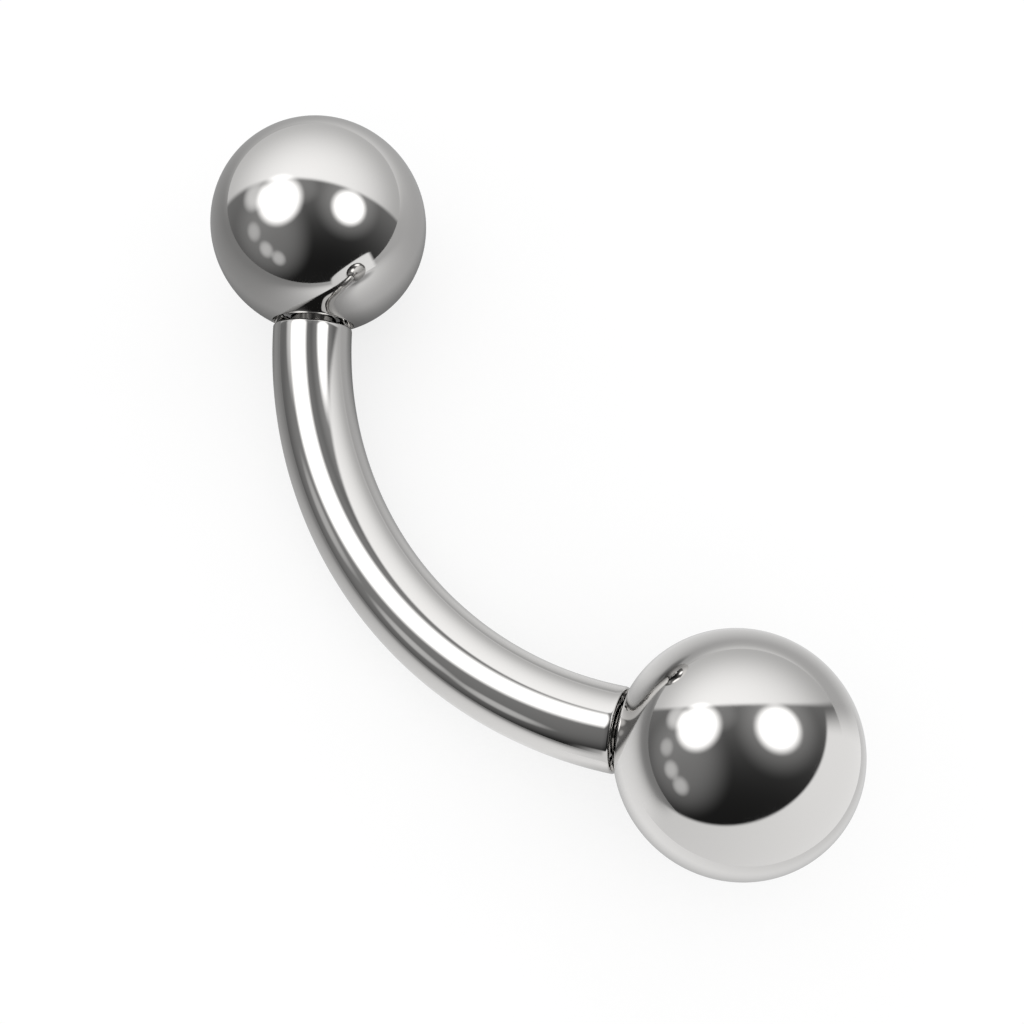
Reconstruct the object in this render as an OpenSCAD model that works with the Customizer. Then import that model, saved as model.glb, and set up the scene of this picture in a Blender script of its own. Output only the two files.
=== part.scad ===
// A small curved barbell for a piercing, in millimetres.
// It lies as it would by itself on a flat surface: on both balls and on the belly of the bar.
// X runs from ball to ball, the belly of the bar points to -Y, and Z = 0 is the surface.

/* [Bar] */
// Diameter of the bar, 1.2 mm being 16 gauge
bar_d = 1.2; // [0.8:0.05:1.6]
// Radius of the bend, to the middle of the bar
bend_r = 5.85; // [4.5:0.05:8]
// Angle that the bar bends through from one end to the other
bend_angle = 83; // [64:1:100]
// Chamfer round each end face of the bar
rim_chamfer = 0.04; // [0.02:0.01:0.08]

/* [Screw posts] */
// Width of the flat step from the bar's chamfer down to the post
step_w = 0.06; // [0.04:0.01:0.12]
// Length of each post, from the end face of the bar to its tip
post_l = 2.1; // [1.2:0.05:2.4]
// Depth of the relief turned at the root of each post, as deep as the thread of the real one
relief_depth = 0.15; // [0.1:0.01:0.16]
// Length of that relief
relief_l = 0.15; // [0.1:0.01:0.3]
// Chamfer at the tip of each post
tip_chamfer = 0.1; // [0.05:0.01:0.2]

/* [Balls] */
// Diameter of each ball
ball_d = 3.3; // [3:0.05:5]
// Chamfer at the mouth of each ball's hole
mouth_chamfer = 0.05; // [0.02:0.01:0.1]
// Room in the hole past the tip of the post
hole_spare = 0.2; // [0.1:0.05:0.4]

/* [Fits] */
// Clearance all round between a post and its hole
post_clearance = 0.02; // [0.01:0.01:0.05]
// Gap between a ball and the end face of the bar when it is screwed home
seat_gap = 0.05; // [0.02:0.01:0.1]

/* [Hidden] */
$fn = 96;
steel = [0.8, 0.8, 0.81];
// How far each cutter runs past the surface that it opens
cut_past = 0.1;
// How far the root of each post runs back into the bar
root_in = 0.2;

bar_r = bar_d / 2;
ball_r = ball_d / 2;
post_r = bar_r - rim_chamfer - step_w;
hole_r = post_r + post_clearance;
mouth_r = hole_r + mouth_chamfer;

// Distance from a ball's centre to the rim of its hole, and on to the end face of the bar
rim_at = sqrt(pow(ball_r, 2) - pow(mouth_r, 2));
face_at = rim_at + seat_gap;

// Half of the bend, and the line through both ball centres, measured from the centre of the bend
half_bend = bend_angle / 2;
chord_y = -bend_r * cos(half_bend) + face_at * sin(half_bend);
// How deep the middle of the bar lies below that line, and the tilt that lays it on the surface.
// A bar too flat to reach the surface hangs straight down between its balls.
belly_depth = bend_r + chord_y;
tilt = asin(min(1, (ball_r - bar_r) / belly_depth));
// Distance from the line to the middle of the overall box, which is put at Y = 0
middle_y = (ball_r - belly_depth * cos(tilt) - bar_r) / 2;

// Tilts what is drawn round the centre of the bend into the plane that the barbell rests in
module at_rest()
    translate([0, -middle_y, ball_r])
        rotate([tilt, 0, 0])
            translate([0, -chord_y, 0])
                children();

// Stands children up on one end of the bend, their +Z pointing out along the bar; side is -1 or 1
module on_end(side)
    rotate([0, 0, side * half_bend])
        translate([0, -bend_r, 0])
            rotate([0, side * 90, 0])
                children();

// The bent length of the bar
module bend()
    rotate([0, 0, -90 - half_bend])
        rotate_extrude(angle = bend_angle)
            translate([bend_r, 0])
                circle(r = bar_r);

// Takes the corner off the rim of the bar's end face at 45 degrees
module rim_cutter()
    rotate_extrude()
        polygon([
            [bar_r - rim_chamfer - cut_past, cut_past],
            [bar_r + cut_past, -rim_chamfer - cut_past],
            [bar_r + cut_past, cut_past]
        ]);

// A screw post on its narrower relief, standing on the end face of the bar
module post() {
    relief_r = post_r - relief_depth;
    rotate_extrude()
        polygon([
            [0, -root_in],
            [relief_r, -root_in],
            [relief_r, relief_l],
            [post_r, relief_l],
            [post_r, post_l - tip_chamfer],
            [post_r - tip_chamfer, post_l],
            [0, post_l]
        ]);
}

// A ball with its blind hole, mouth down, its centre where it sits when screwed home
module ball() {
    hole_depth = post_l + hole_spare - seat_gap;
    // Both cutters start below the ball, and the mouth's cone opens at 45 degrees
    run_in = ball_r + cut_past - rim_at;
    translate([0, 0, face_at])
        difference() {
            sphere(r = ball_r);
            translate([0, 0, -ball_r - cut_past])
                cylinder(r = hole_r, h = run_in + hole_depth);
            translate([0, 0, -ball_r - cut_past])
                cylinder(r1 = mouth_r + run_in, r2 = hole_r, h = run_in + mouth_chamfer);
        }
}

module curved_bar()
    color(steel)
        at_rest()
            union() {
                difference() {
                    bend();
                    on_end(-1) rim_cutter();
                    on_end(1) rim_cutter();
                }
                on_end(-1) post();
                on_end(1) post();
            }

module left_ball()
    color(steel)
        at_rest()
            on_end(-1) ball();

module right_ball()
    color(steel)
        at_rest()
            on_end(1) ball();

curved_bar();
left_ball();
right_ball();
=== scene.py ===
"""The polished steel looks of a small curved barbell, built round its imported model."""

import math

import bmesh
import bpy
from mathutils import Matrix, Vector


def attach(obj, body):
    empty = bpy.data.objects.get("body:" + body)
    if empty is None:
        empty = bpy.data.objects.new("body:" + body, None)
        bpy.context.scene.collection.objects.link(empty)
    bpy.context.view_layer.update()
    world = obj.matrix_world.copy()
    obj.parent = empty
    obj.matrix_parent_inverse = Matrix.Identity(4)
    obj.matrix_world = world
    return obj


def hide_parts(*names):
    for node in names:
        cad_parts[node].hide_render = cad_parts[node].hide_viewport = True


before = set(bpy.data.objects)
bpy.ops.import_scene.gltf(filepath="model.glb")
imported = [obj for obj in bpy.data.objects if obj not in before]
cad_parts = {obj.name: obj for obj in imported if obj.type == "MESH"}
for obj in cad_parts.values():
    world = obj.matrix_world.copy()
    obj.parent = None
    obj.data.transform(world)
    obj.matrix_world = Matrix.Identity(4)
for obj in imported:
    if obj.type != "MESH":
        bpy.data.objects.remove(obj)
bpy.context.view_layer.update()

# Pieces are modelled in millimetres and brought to metres when they are put in place
MM = 0.001

# Corners round a full turn, how close doubled vertices lie, and the angle up to which shading is smooth
round_steps = 96
merge_within = 0.0005
smooth_up_to = math.radians(32)

# The barbell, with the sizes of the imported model
bar_d = 1.2
bend_r = 5.85
bend_angle = math.radians(83)
ball_d = 3.3
post_l = 2.1
relief_l = 0.15
relief_r = 0.35
root_in = 0.2
hole_r = 0.52
hole_depth = 2.25
mouth_chamfer = 0.05
seat_gap = 0.05

# Its screw thread, M1 x 0.25, and the edges that the polishing wheel has rounded
pitch = 0.25
crest_w = pitch / 8
root_w = pitch / 4
post_crest_r = 0.5
post_root_r = 0.365
tip_chamfer = 0.1
tap_crest_r = 0.56
tap_root_r = 0.5
tap_start = mouth_chamfer * 1.5
drill_slope = math.radians(31)
rim_round = 0.04
mouth_round = 0.015

bar_r = bar_d / 2
ball_r = ball_d / 2
mouth_r = hole_r + mouth_chamfer
half_bend = bend_angle / 2
rim_at = math.sqrt(ball_r**2 - mouth_r**2)
face_at = rim_at + seat_gap

# How it lies: tilted until both balls and the belly of the bar touch the floor
chord_y = face_at * math.sin(half_bend) - bend_r * math.cos(half_bend)
belly_depth = bend_r + chord_y
tilt = math.asin((ball_r - bar_r) / belly_depth)
balls_y = (belly_depth * math.cos(tilt) + bar_r - ball_r) / 2

# From the plane of the bend, round its centre, to the place where the barbell lies
AT_REST = (
    Matrix.Translation((0, balls_y, ball_r))
    @ Matrix.Rotation(tilt, 4, "X")
    @ Matrix.Translation((0, -chord_y, 0))
)


def on_end(side):
    """From a lathe, with the bar's end face at its origin and +Z pointing outward, to one end of the bend."""
    return (
        Matrix.Rotation(side * half_bend, 4, "Z")
        @ Matrix.Translation((0, -bend_r, 0))
        @ Matrix.Rotation(side * math.pi / 2, 4, "Y")
    )


def start(name):
    """Names the primitive that was just added and opens it for editing, with nothing selected."""
    piece = bpy.context.object
    piece.name = name
    bpy.ops.object.mode_set(mode="EDIT")
    bpy.ops.mesh.select_all(action="DESELECT")
    return piece


def done(piece):
    """Merges doubled vertices, turns all faces outward and leaves edit mode."""
    bpy.ops.mesh.select_all(action="SELECT")
    bpy.ops.mesh.remove_doubles(threshold=merge_within)
    bpy.ops.mesh.normals_make_consistent(inside=False)
    bpy.ops.mesh.select_all(action="DESELECT")
    bpy.ops.object.mode_set(mode="OBJECT")
    return piece


def only(piece):
    """Leaves one piece selected and active."""
    bpy.ops.object.select_all(action="DESELECT")
    piece.select_set(True)
    bpy.context.view_layer.objects.active = piece


def pick(kind, test):
    """Selects the verts, edges or faces of the open mesh that have all their corners where the test says."""
    bpy.ops.mesh.select_mode(type={"verts": "VERT", "edges": "EDGE", "faces": "FACE"}[kind])
    bpy.ops.mesh.select_all(action="DESELECT")
    mesh = bmesh.from_edit_mesh(bpy.context.object.data)
    for part in getattr(mesh, kind):
        corners = [part] if kind == "verts" else part.verts
        part.select = all(test(corner.co) for corner in corners)
    mesh.select_flush_mode()
    bmesh.update_edit_mesh(bpy.context.object.data)


def draw_on(move, scale=1.0, centre=(0, 0, 0)):
    """Extrudes the selected ring or face by a move, then scales it round a centre."""
    bpy.ops.mesh.extrude_region_move(TRANSFORM_OT_translate={"value": move})
    bpy.ops.transform.resize(value=(scale, scale, scale), center_override=centre)


def cut_off(height, **side):
    """Cuts the open mesh at a height and clears one side of it."""
    bpy.ops.mesh.select_all(action="SELECT")
    bpy.ops.mesh.bisect(plane_co=(0, 0, height), plane_no=(0, 0, 1), **side)


def apply_modifier(piece, kind, **settings):
    """Adds a modifier with its settings and applies it."""
    only(piece)
    modifier = piece.modifiers.new(kind.title(), kind)
    for setting, value in settings.items():
        setattr(modifier, setting, value)
    bpy.ops.object.modifier_apply(modifier=modifier.name)


def combine(piece, other, operation):
    """Adds another closed piece to this one, or cuts it away, or keeps what both share."""
    apply_modifier(piece, "BOOLEAN", operation=operation, solver="EXACT", object=other)
    bpy.data.objects.remove(other)
    bpy.ops.object.mode_set(mode="EDIT")
    return done(piece)


def copy_of(piece, name):
    """A copy with its own mesh."""
    made = piece.copy()
    made.data = piece.data.copy()
    made.name = name
    bpy.context.scene.collection.objects.link(made)
    return made


def move_by(piece, matrix):
    """Moves a piece within its own mesh, so that its object stays at the origin."""
    only(piece)
    piece.matrix_world = matrix
    bpy.ops.object.transform_apply(location=True, rotation=True, scale=True)
    return piece


def put_in_place(piece, matrix):
    """Brings a finished piece from the bench to where it lies, in metres, and smooths its shading."""
    move_by(piece, Matrix.Scale(MM, 4) @ AT_REST @ matrix)
    bpy.ops.object.shade_smooth_by_angle(angle=smooth_up_to)
    return piece


def threaded_rod(name, root_r, crest_r, bottom, top):
    """A round rod with a right-handed screw thread along its whole length, closed at both ends."""
    bpy.ops.object.select_all(action="DESELECT")
    bpy.ops.mesh.primitive_plane_add(size=pitch)
    rod = start(name)
    pick("verts", lambda co: co.x > 0 or co.y > 0)
    bpy.ops.mesh.delete(type="VERT")
    bpy.ops.mesh.select_all(action="SELECT")
    spare_turns = 2
    first = Vector((root_r, 0, bottom - spare_turns * pitch))
    bpy.ops.transform.translate(value=first - Vector((-pitch / 2, -pitch / 2, 0)))
    flank_w = (pitch - crest_w - root_w) / 2
    flank_h = crest_r - root_r
    for out, up in ((flank_h, flank_w), (0, crest_w), (-flank_h, flank_w), (0, root_w)):
        bpy.ops.mesh.extrude_vertices_move(TRANSFORM_OT_translate={"value": (out, 0, up)})
    bpy.ops.object.mode_set(mode="OBJECT")
    turns = math.ceil((top - bottom) / pitch) + 2 * spare_turns
    apply_modifier(rod, "SCREW", axis="Z", angle=math.tau, screw_offset=pitch, iterations=turns,
                   steps=round_steps, render_steps=round_steps)
    bpy.ops.object.mode_set(mode="EDIT")
    bpy.ops.mesh.select_all(action="SELECT")
    bpy.ops.mesh.remove_doubles(threshold=merge_within)
    cut_off(bottom, use_fill=True, clear_inner=True)
    cut_off(top, use_fill=True, clear_outer=True)
    return done(rod)


def round_rod(name, radius, bottom, top):
    """A plain round rod, closed at both ends."""
    bpy.ops.object.select_all(action="DESELECT")
    middle = (0, 0, (bottom + top) / 2)
    bpy.ops.mesh.primitive_cylinder_add(vertices=round_steps, radius=radius, depth=top - bottom,
                                        location=middle)
    bpy.ops.object.transform_apply(location=True, rotation=True, scale=True)
    rod = bpy.context.object
    rod.name = name
    return rod


def chamfered_blank():
    """A rod a little thicker than the thread, with the tip chamfered at 45 degrees as the post's is."""
    spare = 0.05
    slope = tip_chamfer + spare
    thick = post_crest_r + spare
    blank = round_rod("blank", thick, -root_in, post_l - slope)
    start(blank.name)
    pick("faces", lambda co: co.z > 0)
    draw_on((0, 0, slope), (thick - slope) / thick, (0, 0, post_l))
    return done(blank)


def screw_post():
    """The threaded post on its narrow relief, with its root reaching back into the bar."""
    post = threaded_rod("post", post_root_r, post_crest_r, relief_l, post_l + pitch)
    combine(post, chamfered_blank(), "INTERSECT")
    combine(post, round_rod("neck", relief_r, -root_in, relief_l + root_in), "UNION")
    return post


def half_of_bar():
    """Half of the bent bar from its belly to its right end, with the rim of the end face rounded."""
    bpy.ops.object.select_all(action="DESELECT")
    bpy.ops.mesh.primitive_circle_add(vertices=round_steps, radius=bar_r, location=(0, -bend_r, 0),
                                      rotation=(0, math.pi / 2, 0))
    bpy.ops.object.transform_apply(location=True, rotation=True, scale=True)
    bar = start("bar")
    bpy.ops.mesh.select_all(action="SELECT")
    bend_steps = 80
    turn = half_bend - rim_round / bend_r
    bpy.ops.mesh.spin(steps=bend_steps, angle=turn, center=(0, 0, 0), axis=(0, 0, -1))
    ahead = Vector((math.cos(turn), math.sin(turn), 0))
    centre = Vector((math.sin(turn), -math.cos(turn), 0)) * bend_r
    rim_steps = 4
    radius = bar_r
    for step in range(1, rim_steps + 1):
        before, after = (math.pi / 2 * part / rim_steps for part in (step - 1, step))
        move = ahead * rim_round * (math.sin(after) - math.sin(before))
        next_radius = bar_r - rim_round * (1 - math.cos(after))
        centre = centre + move
        draw_on(move, next_radius / radius, centre)
        radius = next_radius
    bpy.ops.mesh.edge_face_add()
    return done(bar)


def make_bar():
    """The whole bar: two mirrored halves and a screw post on each end."""
    bar = half_of_bar()
    apply_modifier(bar, "MIRROR", use_axis=(True, False, False), merge_threshold=merge_within)
    post = screw_post()
    for side, end in ((-1, "left"), (1, "right")):
        combine(bar, move_by(copy_of(post, end + "_post"), on_end(side)), "UNION")
    bpy.data.objects.remove(post)
    return bar


def make_ball():
    """A ball round its own centre, with a rounded mouth and a tapped blind hole that opens toward -Z."""
    bpy.ops.object.select_all(action="DESELECT")
    ball_steps = 180
    bpy.ops.mesh.primitive_uv_sphere_add(segments=ball_steps, ring_count=ball_steps // 2, radius=ball_r)
    ball = start("ball")
    cut_off(-rim_at, clear_inner=True)
    hole_end = hole_depth - rim_at
    drill_point = hole_r * math.tan(drill_slope)
    draw_on((0, 0, mouth_chamfer), hole_r / mouth_r, (0, 0, mouth_chamfer - rim_at))
    draw_on((0, 0, hole_depth - mouth_chamfer))
    draw_on((0, 0, drill_point), 0, (0, 0, hole_end + drill_point))
    bpy.ops.mesh.select_all(action="SELECT")
    bpy.ops.mesh.remove_doubles(threshold=merge_within)
    near_rim = 0.001
    pick("edges", lambda co: abs(co.z + rim_at) < near_rim)
    bpy.ops.mesh.bevel(offset=mouth_round, segments=3)
    done(ball)
    tap = threaded_rod("tap", tap_root_r, tap_crest_r, tap_start - rim_at, hole_end - pitch)
    return combine(ball, tap, "DIFFERENCE")


class Value:
    """A socket of a node, so that sums on it can be written as plain expressions."""

    def __init__(self, paint, socket):
        self.paint = paint
        self.socket = socket

    def work_out(self, operation, first, second):
        """One sum on two numbers or sockets."""
        return self.paint.add("ShaderNodeMath", {"operation": operation}, {0: first, 1: second})

    def __add__(self, other):
        return self.work_out("ADD", self, other)

    def __sub__(self, other):
        return self.work_out("SUBTRACT", self, other)

    def __mul__(self, other):
        return self.work_out("MULTIPLY", self, other)

    def __rsub__(self, other):
        return self.work_out("SUBTRACT", other, self)

    __radd__ = __add__
    __rmul__ = __mul__


class Paint:
    """The nodes of one material."""

    def __init__(self, owner):
        owner.use_nodes = True
        self.tree = owner.node_tree
        self.tree.nodes.clear()

    def add(self, kind, settings=None, values=None, output=0):
        """Adds a node: its settings first, then values or links for its sockets. Gives one of its outputs."""
        node = self.tree.nodes.new(kind)
        for name, setting in (settings or {}).items():
            setattr(node, name, setting)
        for name, value in (values or {}).items():
            if isinstance(value, Value):
                self.tree.links.new(value.socket, node.inputs[name])
            else:
                node.inputs[name].default_value = value
        return Value(self, node.outputs[output])

    def place(self):
        """Where a point of the surface is, on the piece itself."""
        return self.add("ShaderNodeTexCoord", output="Object")

    def place_in_studio(self):
        """Where a point is as the photographer sees it: to the right, away and up, in millimetres."""
        values = {"Vector": self.place(), "Location": aim * MM, "Rotation": (0, 0, view_azimuth),
                  "Scale": (MM, MM, MM)}
        return self.add("ShaderNodeMapping", {"vector_type": "TEXTURE"}, values)

    def vector(self, operation, first, second=(0, 0, 0), output="Value"):
        """Sums on vectors, such as how far one point is from another."""
        return self.add("ShaderNodeVectorMath", {"operation": operation}, {0: first, 1: second}, output)

    def parts(self, place):
        """The three numbers of a vector."""
        first = self.add("ShaderNodeSeparateXYZ", None, {0: place})
        return [Value(self, socket) for socket in first.socket.node.outputs]

    def noise(self, place, size, detail=2.0):
        """A soft mottle from 0 to 1 with patches of about this size, in millimetres."""
        values = {"Vector": place, "Scale": 1 / (size * MM), "Detail": detail}
        return self.add("ShaderNodeTexNoise", None, values)

    def between(self, value, low, high, to_low=0.0, to_high=1.0):
        """Takes a value from one range to another, smoothly and without leaving it."""
        values = {"Value": value, "From Min": low, "From Max": high, "To Min": to_low, "To Max": to_high}
        return self.add("ShaderNodeMapRange", {"interpolation_type": "SMOOTHSTEP"}, values)

    def mix(self, share, first, second):
        """One colour going over into another."""
        values = {"Factor": share, "A": first, "B": second}
        return self.add("ShaderNodeMix", {"data_type": "RGBA"}, values, output="Result")

    def light(self, bright):
        """A surface that gives light and mirrors none."""
        values = {"Base Color": (0, 0, 0, 1), "Roughness": 1.0, "Specular IOR Level": 0.0,
                  "Emission Color": bright, "Emission Strength": 1.0}
        return self.add("ShaderNodeBsdfPrincipled", None, values)

    def clear(self, grey):
        """A surface that lets light through, as clear film does at 1 and black film at 0."""
        return self.add("ShaderNodeBsdfTransparent", None, {"Color": (grey, grey, grey, 1)})

    def mix_shaders(self, share, first, second):
        """One surface going over into another."""
        return self.add("ShaderNodeMixShader", None, {0: share, 1: first, 2: second})

    def finish(self, shader, kind="ShaderNodeOutputMaterial"):
        """Gives the material, or the world, its surface."""
        node = self.tree.nodes.new(kind)
        self.tree.links.new(shader.socket, node.inputs["Surface"])


# The steel: its tints, and the sizes in millimetres of its faint clouds, its haze and its scratches
bar_tint = (0.69, 0.68, 0.668)
ball_tint = (0.70, 0.69, 0.678)
cloud_size = 1.6
cloud_shade = 0.97
haze_size = 0.35
haze_span = (0.35, 0.75)
least_rough = 0.03
haze_rough = 0.05
scratch_size = 0.05
scratch_depth = 0.002
scratch_strength = 0.02

# The board: the size of its mottle, the two greys between which it varies, and its own light
mottle_size = 4.0
board_dark = 0.265
board_pale = 0.285
board_glow = 0.74


def polished_steel(name, tint):
    """Mirror-polished stainless steel: a faint haze left by the wheel, and hair-fine scratches."""
    material = bpy.data.materials.new(name)
    paint = Paint(material)
    place = paint.place()
    cloud = paint.noise(place, cloud_size)
    haze = paint.noise(place, haze_size, 4.0)
    shade = paint.mix(cloud, (*(part * cloud_shade for part in tint), 1), (*tint, 1))
    rough = least_rough + haze_rough * paint.between(haze, *haze_span)
    grain = paint.noise(place, scratch_size, 3.0)
    fine = {"Strength": scratch_strength, "Distance": scratch_depth * MM, "Height": grain}
    bump = paint.add("ShaderNodeBump", None, fine)
    values = {"Base Color": shade, "Metallic": 1.0, "Roughness": rough, "Normal": bump}
    paint.finish(paint.add("ShaderNodeBsdfPrincipled", None, values))
    return material


def lit_board():
    """The matt white board that the barbell lies on, lit from within as a light table is."""
    material = bpy.data.materials.new("lit_board")
    paint = Paint(material)
    mottle = paint.noise(paint.place(), mottle_size, 4.0)
    dark, pale = ((grey, grey, grey, 1) for grey in (board_dark, board_pale))
    shade = paint.mix(mottle, dark, pale)
    values = {"Base Color": shade, "Roughness": 0.9, "Specular IOR Level": 0.0,
              "Emission Color": (1, 1, 1, 1), "Emission Strength": board_glow}
    paint.finish(paint.add("ShaderNodeBsdfPrincipled", None, values))
    return material


def spot(paint, toward, lamp):
    """The light of one lamp of the tent, even near its middle and falling softly to nothing."""
    hangs, even, gone, bright = lamp
    near = paint.vector("DOT_PRODUCT", toward, hangs)
    return bright * paint.between(near, math.cos(math.radians(gone)), math.cos(math.radians(even)))


def tent_light():
    """What the steel mirrors: a dark canopy over the camera's side with lamps in it, and white beyond."""
    material = bpy.data.materials.new("tent_light")
    paint = Paint(material)
    toward = paint.vector("NORMALIZE", paint.place_in_studio(), output="Vector")
    right, away, up = paint.parts(toward)
    rise = paint.between(away, *canopy_rise)
    canopy = canopy_dark + canopy_pale * rise * rise
    for lamp in dim_lamps:
        canopy = canopy + spot(paint, toward, lamp)
    white = paint.between(up, *white_rise) * (1 - white_slant * right)
    beyond = paint.between(away + canopy_slant * right, *canopy_edge)
    glow = canopy * (1 - beyond) + white * beyond
    for lamp in bright_lamps:
        glow = glow + spot(paint, toward, lamp)
    paint.finish(paint.light(glow))
    return material


def card_light():
    """The light of the low white card, which fades out along its upper edge and at both ends."""
    material = bpy.data.materials.new("card_light")
    paint = Paint(material)
    place = paint.vector("SUBTRACT", paint.place_in_studio(), near_ball, "Vector")
    right = paint.parts(place)[0]
    height = paint.vector("DOT_PRODUCT", place, card_top)
    below = paint.between(height, card_middle - card_fade, card_middle, 1.0, 0.0)
    inside = paint.between(paint.vector("DOT_PRODUCT", place, card_faces), 0.0, card_end_fade)
    light = paint.light(card_glow + card_slant * right)
    paint.finish(paint.mix_shaders(below * inside, paint.clear(1.0), light))
    return material


def bend_shade_mask(paint):
    """Painted shade inside the bend, from 0 to 1 for a point of the board, rising toward the bar from inside
    its bend.
    """
    stretch = Vector((1, 1 / math.cos(tilt), 0))
    bend_y = balls_y - chord_y * math.cos(tilt)
    on_board = paint.vector("MULTIPLY", paint.place(), stretch / MM, "Vector")
    from_bend = paint.vector("DISTANCE", on_board, Vector((0, bend_y * stretch.y, 0)))
    bend_shade = paint.between(from_bend, bend_r - hollow_w, bend_r - hollow_full)
    bend_shade = bend_shade * paint.between(from_bend, bend_r, bend_r + hollow_edge, 1.0, 0.0)
    return bend_shade * paint.between(paint.parts(on_board)[1], 0.0, 2 * balls_y, 1.0, 0.0)


def painted_shade_film():
    """Painted shade on the board as the steel mirrors it: a film seen only in the steel, which lets less of
    the board's light through further out, painting a pool of light, and paints shadow under the balls and
    inside the bend.
    """
    material = bpy.data.materials.new("painted_shade_film")
    paint = Paint(material)
    place = paint.place_in_studio()
    right, away = paint.parts(place)[:2]
    # Painted pool of light: the board's reflection grows dimmer away from the pool
    far = paint.between(paint.vector("DISTANCE", place, pool_middle), 0.0, pool_r)
    clear_far = paint.between(right, *clear_to_right) + paint.between(away, *clear_away)
    clear = 1 - far * (1 - clear_far)
    # Painted contact shadow under each ball, on the board as the steel mirrors it
    for ball in (near_ball, -near_ball):
        clear = clear * paint.between(paint.vector("DISTANCE", place, ball), *painted_ball_shadow)
    # Painted shade inside the bend, on the board as the steel mirrors it
    clear = clear * (1 - hollow_shade * bend_shade_mask(paint))
    paint.finish(paint.mix_shaders(clear, paint.clear(0.0), paint.clear(1.0)))
    return material


def as_seen(right, away, up):
    """Turns a vector from the photographer's terms into the barbell's own."""
    return Matrix.Rotation(view_azimuth, 3, "Z") @ Vector((right, away, up))


def in_photographers_terms(place):
    """Where a place of the barbell's own is from the aim, to the right and away, down on the floor."""
    seen = Matrix.Rotation(-view_azimuth, 3, "Z") @ (place - aim)
    return Vector((seen.x, seen.y, 0))


def direction(right, away, up):
    """A direction from the aim in the photographer's terms."""
    return Vector((right, away, up)).normalized()


# The studio, in the photographer's terms: to the right, away and up from the aim, in millimetres
view_azimuth = math.radians(54)
view_elevation = math.radians(68)
camera_distance = 21.0
lens = 47.7
aim = Vector((0, balls_y, 0))
near_ball = in_photographers_terms(AT_REST @ on_end(1) @ Vector((0, 0, face_at)))

# A smooth change is a span of places and, where they aren't 0 and 1, the values at its two ends.
# The tent, where its dark canopy grows paler and gives way to white, and how the white rises
tent_r = 26.0
canopy_dark = 0.012
canopy_pale = 0.2
canopy_rise = (-1.3, 0.6)
canopy_edge = (0.31, 0.39)
canopy_slant = 0.073
white_rise = (0.0, 0.95, 0.63, 1.27)
white_slant = 0.114

# The lamps, each with its direction, the angles from it, in degrees, up to which it is even and at
# which it is gone, and its brightness. The last three of the dim ones show as small spots
bright_lamps = (
    (direction(-4.4, 0.6, 6.2), 10, 24, 2.0),
    (direction(4.2, -0.05, 7.05), 8, 21, 2.0),
)
dim_lamps = (
    (direction(4.2, -0.05, 7.05), 2, 37, 0.18),
    (direction(-0.24, 0.2, 0.95), 0, 16, 0.09),
    (direction(-0.945, 0.315, 0.6), 2, 13, 0.6),
    (direction(-0.55, -0.28, 0.4), 2, 45, 0.18),
    (direction(-0.92, -0.14, 0.38), 0, 9, 0.3),
    (direction(-0.83, -0.44, 0.35), 0, 9, 0.4),
    (direction(-0.69, -0.64, 0.35), 0, 9, 0.4),
)

# The low white card, bent round the nearer ball on the camera's side, with a slanted upper edge
card_r = 4.2
card_middle = 2.67
card_rise = 1.875
card_fade = 0.3
card_end_fade = 1.4
card_glow = 0.89
card_slant = 0.03
card_faces = Vector((math.cos(math.radians(-65)), math.sin(math.radians(-65)), 0))
card_high = Vector((math.cos(math.radians(-38.5)), math.sin(math.radians(-38.5)), 0))
card_top = Vector((0, 0, 1)) - card_high * card_rise / card_r

# The film, which paints a pool of light on the board as the steel mirrors it: clear over the pool and greyer
# further out, and how clear it is to each side there
film_height = 0.01
pool_middle = Vector((1.05, -5.26, 0))
pool_r = 10.5
clear_to_right = (-14.0, 6.0, 0.25, 0.5)
clear_away = (4.0, 20.0, 0.0, 0.25)

# Painted shadow under the balls, as the film's clearness by the distance from a ball's foot, and the painted
# shade that it lays inside the bend
painted_ball_shadow = (1.2, 3.1, 0.5, 1.0)
hollow_w = 2.2
hollow_full = 0.5
hollow_edge = 0.2
hollow_shade = 0.4


def set_up(thing, light, place=(0, 0, 0)):
    """Stands a thing where it belongs in the studio, to be seen only in the polished steel."""
    turn = Matrix.Rotation(view_azimuth, 4, "Z")
    move_by(thing, Matrix.Scale(MM, 4) @ Matrix.Translation(aim) @ turn @ Matrix.Translation(place))
    thing.data.materials.append(light)
    thing.visible_camera = False
    thing.visible_diffuse = False
    thing.visible_shadow = False


def put_up_tent():
    """The tent all round."""
    bpy.ops.object.select_all(action="DESELECT")
    tent_steps = 64
    bpy.ops.mesh.primitive_uv_sphere_add(segments=tent_steps, ring_count=tent_steps // 2, radius=tent_r)
    tent = start("tent")
    cut_off(0, clear_inner=True)
    bpy.ops.object.mode_set(mode="OBJECT")
    set_up(tent, tent_light())


def stand_card():
    """The low card, cut from a round wall."""
    bpy.ops.object.select_all(action="DESELECT")
    card_steps = 128
    bpy.ops.mesh.primitive_circle_add(vertices=card_steps, radius=card_r)
    card = start("low_card")
    bpy.ops.mesh.select_all(action="SELECT")
    draw_on((0, 0, card_middle + 2 * card_rise))
    bpy.ops.mesh.select_all(action="SELECT")
    bpy.ops.mesh.bisect(plane_co=(0, 0, 0), plane_no=card_faces, clear_inner=True)
    bpy.ops.mesh.select_all(action="SELECT")
    bpy.ops.mesh.bisect(plane_co=(0, 0, card_middle), plane_no=card_top, clear_outer=True)
    bpy.ops.object.mode_set(mode="OBJECT")
    set_up(card, card_light(), near_ball)


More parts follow.
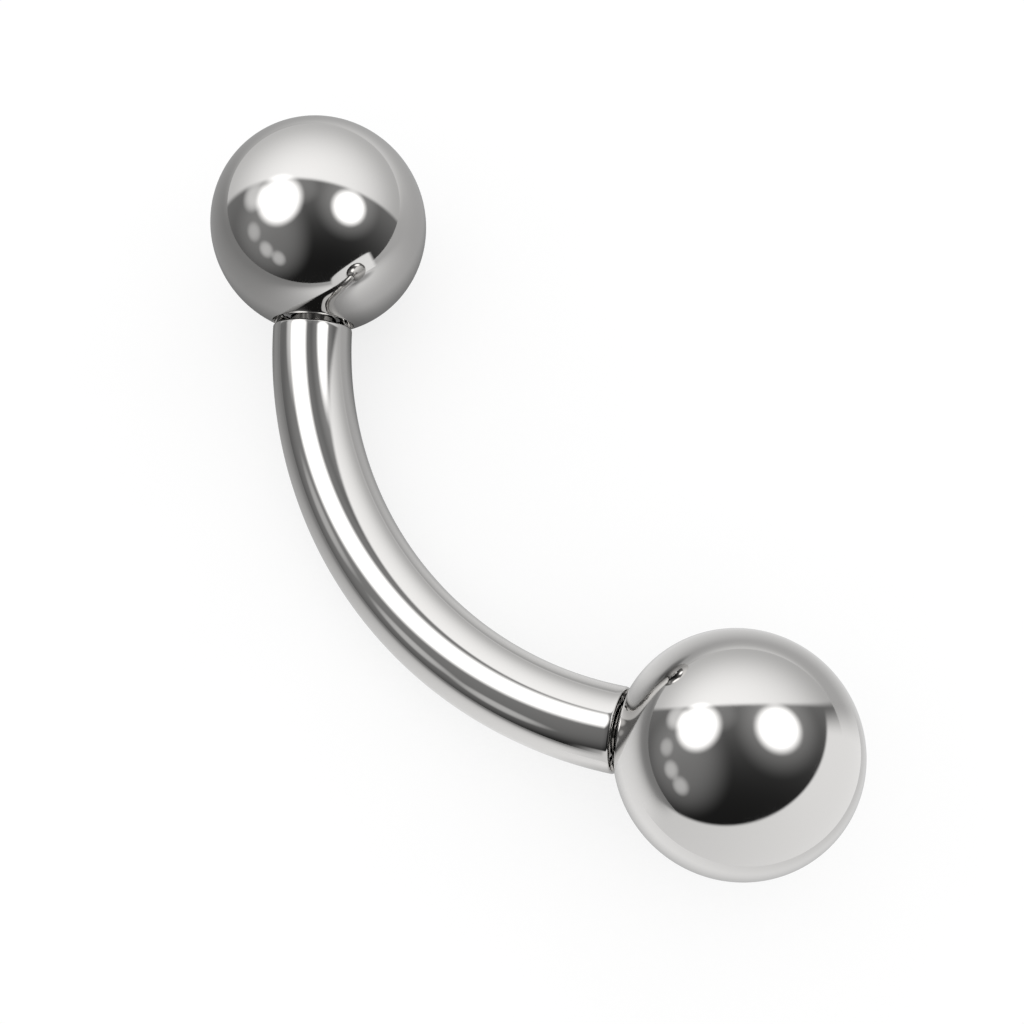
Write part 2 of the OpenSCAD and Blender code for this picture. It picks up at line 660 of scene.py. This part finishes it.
def lay_film():
    """A thin film just above the board, seen only in the steel, which paints shade on the board's reflection.
    """
    bpy.ops.object.select_all(action="DESELECT")
    bpy.ops.mesh.primitive_circle_add(vertices=round_steps, radius=tent_r, fill_type="NGON")
    film = bpy.context.object
    film.name = "painted_shade_film"
    set_up(film, painted_shade_film(), (0, 0, film_height))


def lay_floor():
    """A pale floor that reaches far past the view on all sides."""
    bpy.ops.object.select_all(action="DESELECT")
    metres_wide = 2
    bpy.ops.mesh.primitive_plane_add(size=metres_wide)
    floor = bpy.context.object
    floor.name = "floor"
    floor.data.materials.append(lit_board())


def light_room():
    """An even white room, which lights the floor softly from all sides."""
    world = bpy.data.worlds.new("room")
    bpy.context.scene.world = world
    paint = Paint(world)
    shader = paint.add("ShaderNodeBackground", None, {"Color": (1, 1, 1, 1), "Strength": 1.0})
    paint.finish(shader, "ShaderNodeOutputWorld")
    world.cycles_visibility.glossy = False


def set_camera():
    """The camera at the photographer's angle, close by, so that the nearer ball looks larger."""
    back = as_seen(0, -math.cos(view_elevation), math.sin(view_elevation))
    camera = bpy.data.objects.new("camera", bpy.data.cameras.new("camera"))
    bpy.context.scene.collection.objects.link(camera)
    camera.location = (aim + back * camera_distance) * MM
    camera.rotation_mode = "QUATERNION"
    camera.rotation_quaternion = (-back).to_track_quat("-Z", "Y")
    camera.data.lens = lens
    camera.data.clip_start = MM
    camera.data.clip_end = 10
    bpy.context.scene.camera = camera
    bpy.context.scene.view_settings.view_transform = "Standard"


def dress(piece, name, node, body, material):
    """Gives a finished piece its name, finish and body, and lets it stand for its CAD node."""
    piece.name = name
    piece.data.name = name
    piece.data.materials.clear()
    piece.data.materials.append(material)
    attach(piece, body)
    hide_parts(node)


def build():
    """The barbell itself: the bar, and a ball on each end."""
    bar = put_in_place(make_bar(), Matrix.Identity(4))
    bar_steel = polished_steel("bar_steel", bar_tint)
    dress(bar, "bent_bar", "curved_bar", "bar", bar_steel)
    ball_steel = polished_steel("ball_steel", ball_tint)
    ball = make_ball()
    for side, end in ((-1, "left"), (1, "right")):
        placed = copy_of(ball, end)
        put_in_place(placed, on_end(side) @ Matrix.Translation((0, 0, face_at)))
        dress(placed, end + "_polished_ball", end + "_ball", end + "_end", ball_steel)
    bpy.data.objects.remove(ball)


set_camera()
lay_floor()
lay_film()
put_up_tent()
stand_card()
light_room()
build()
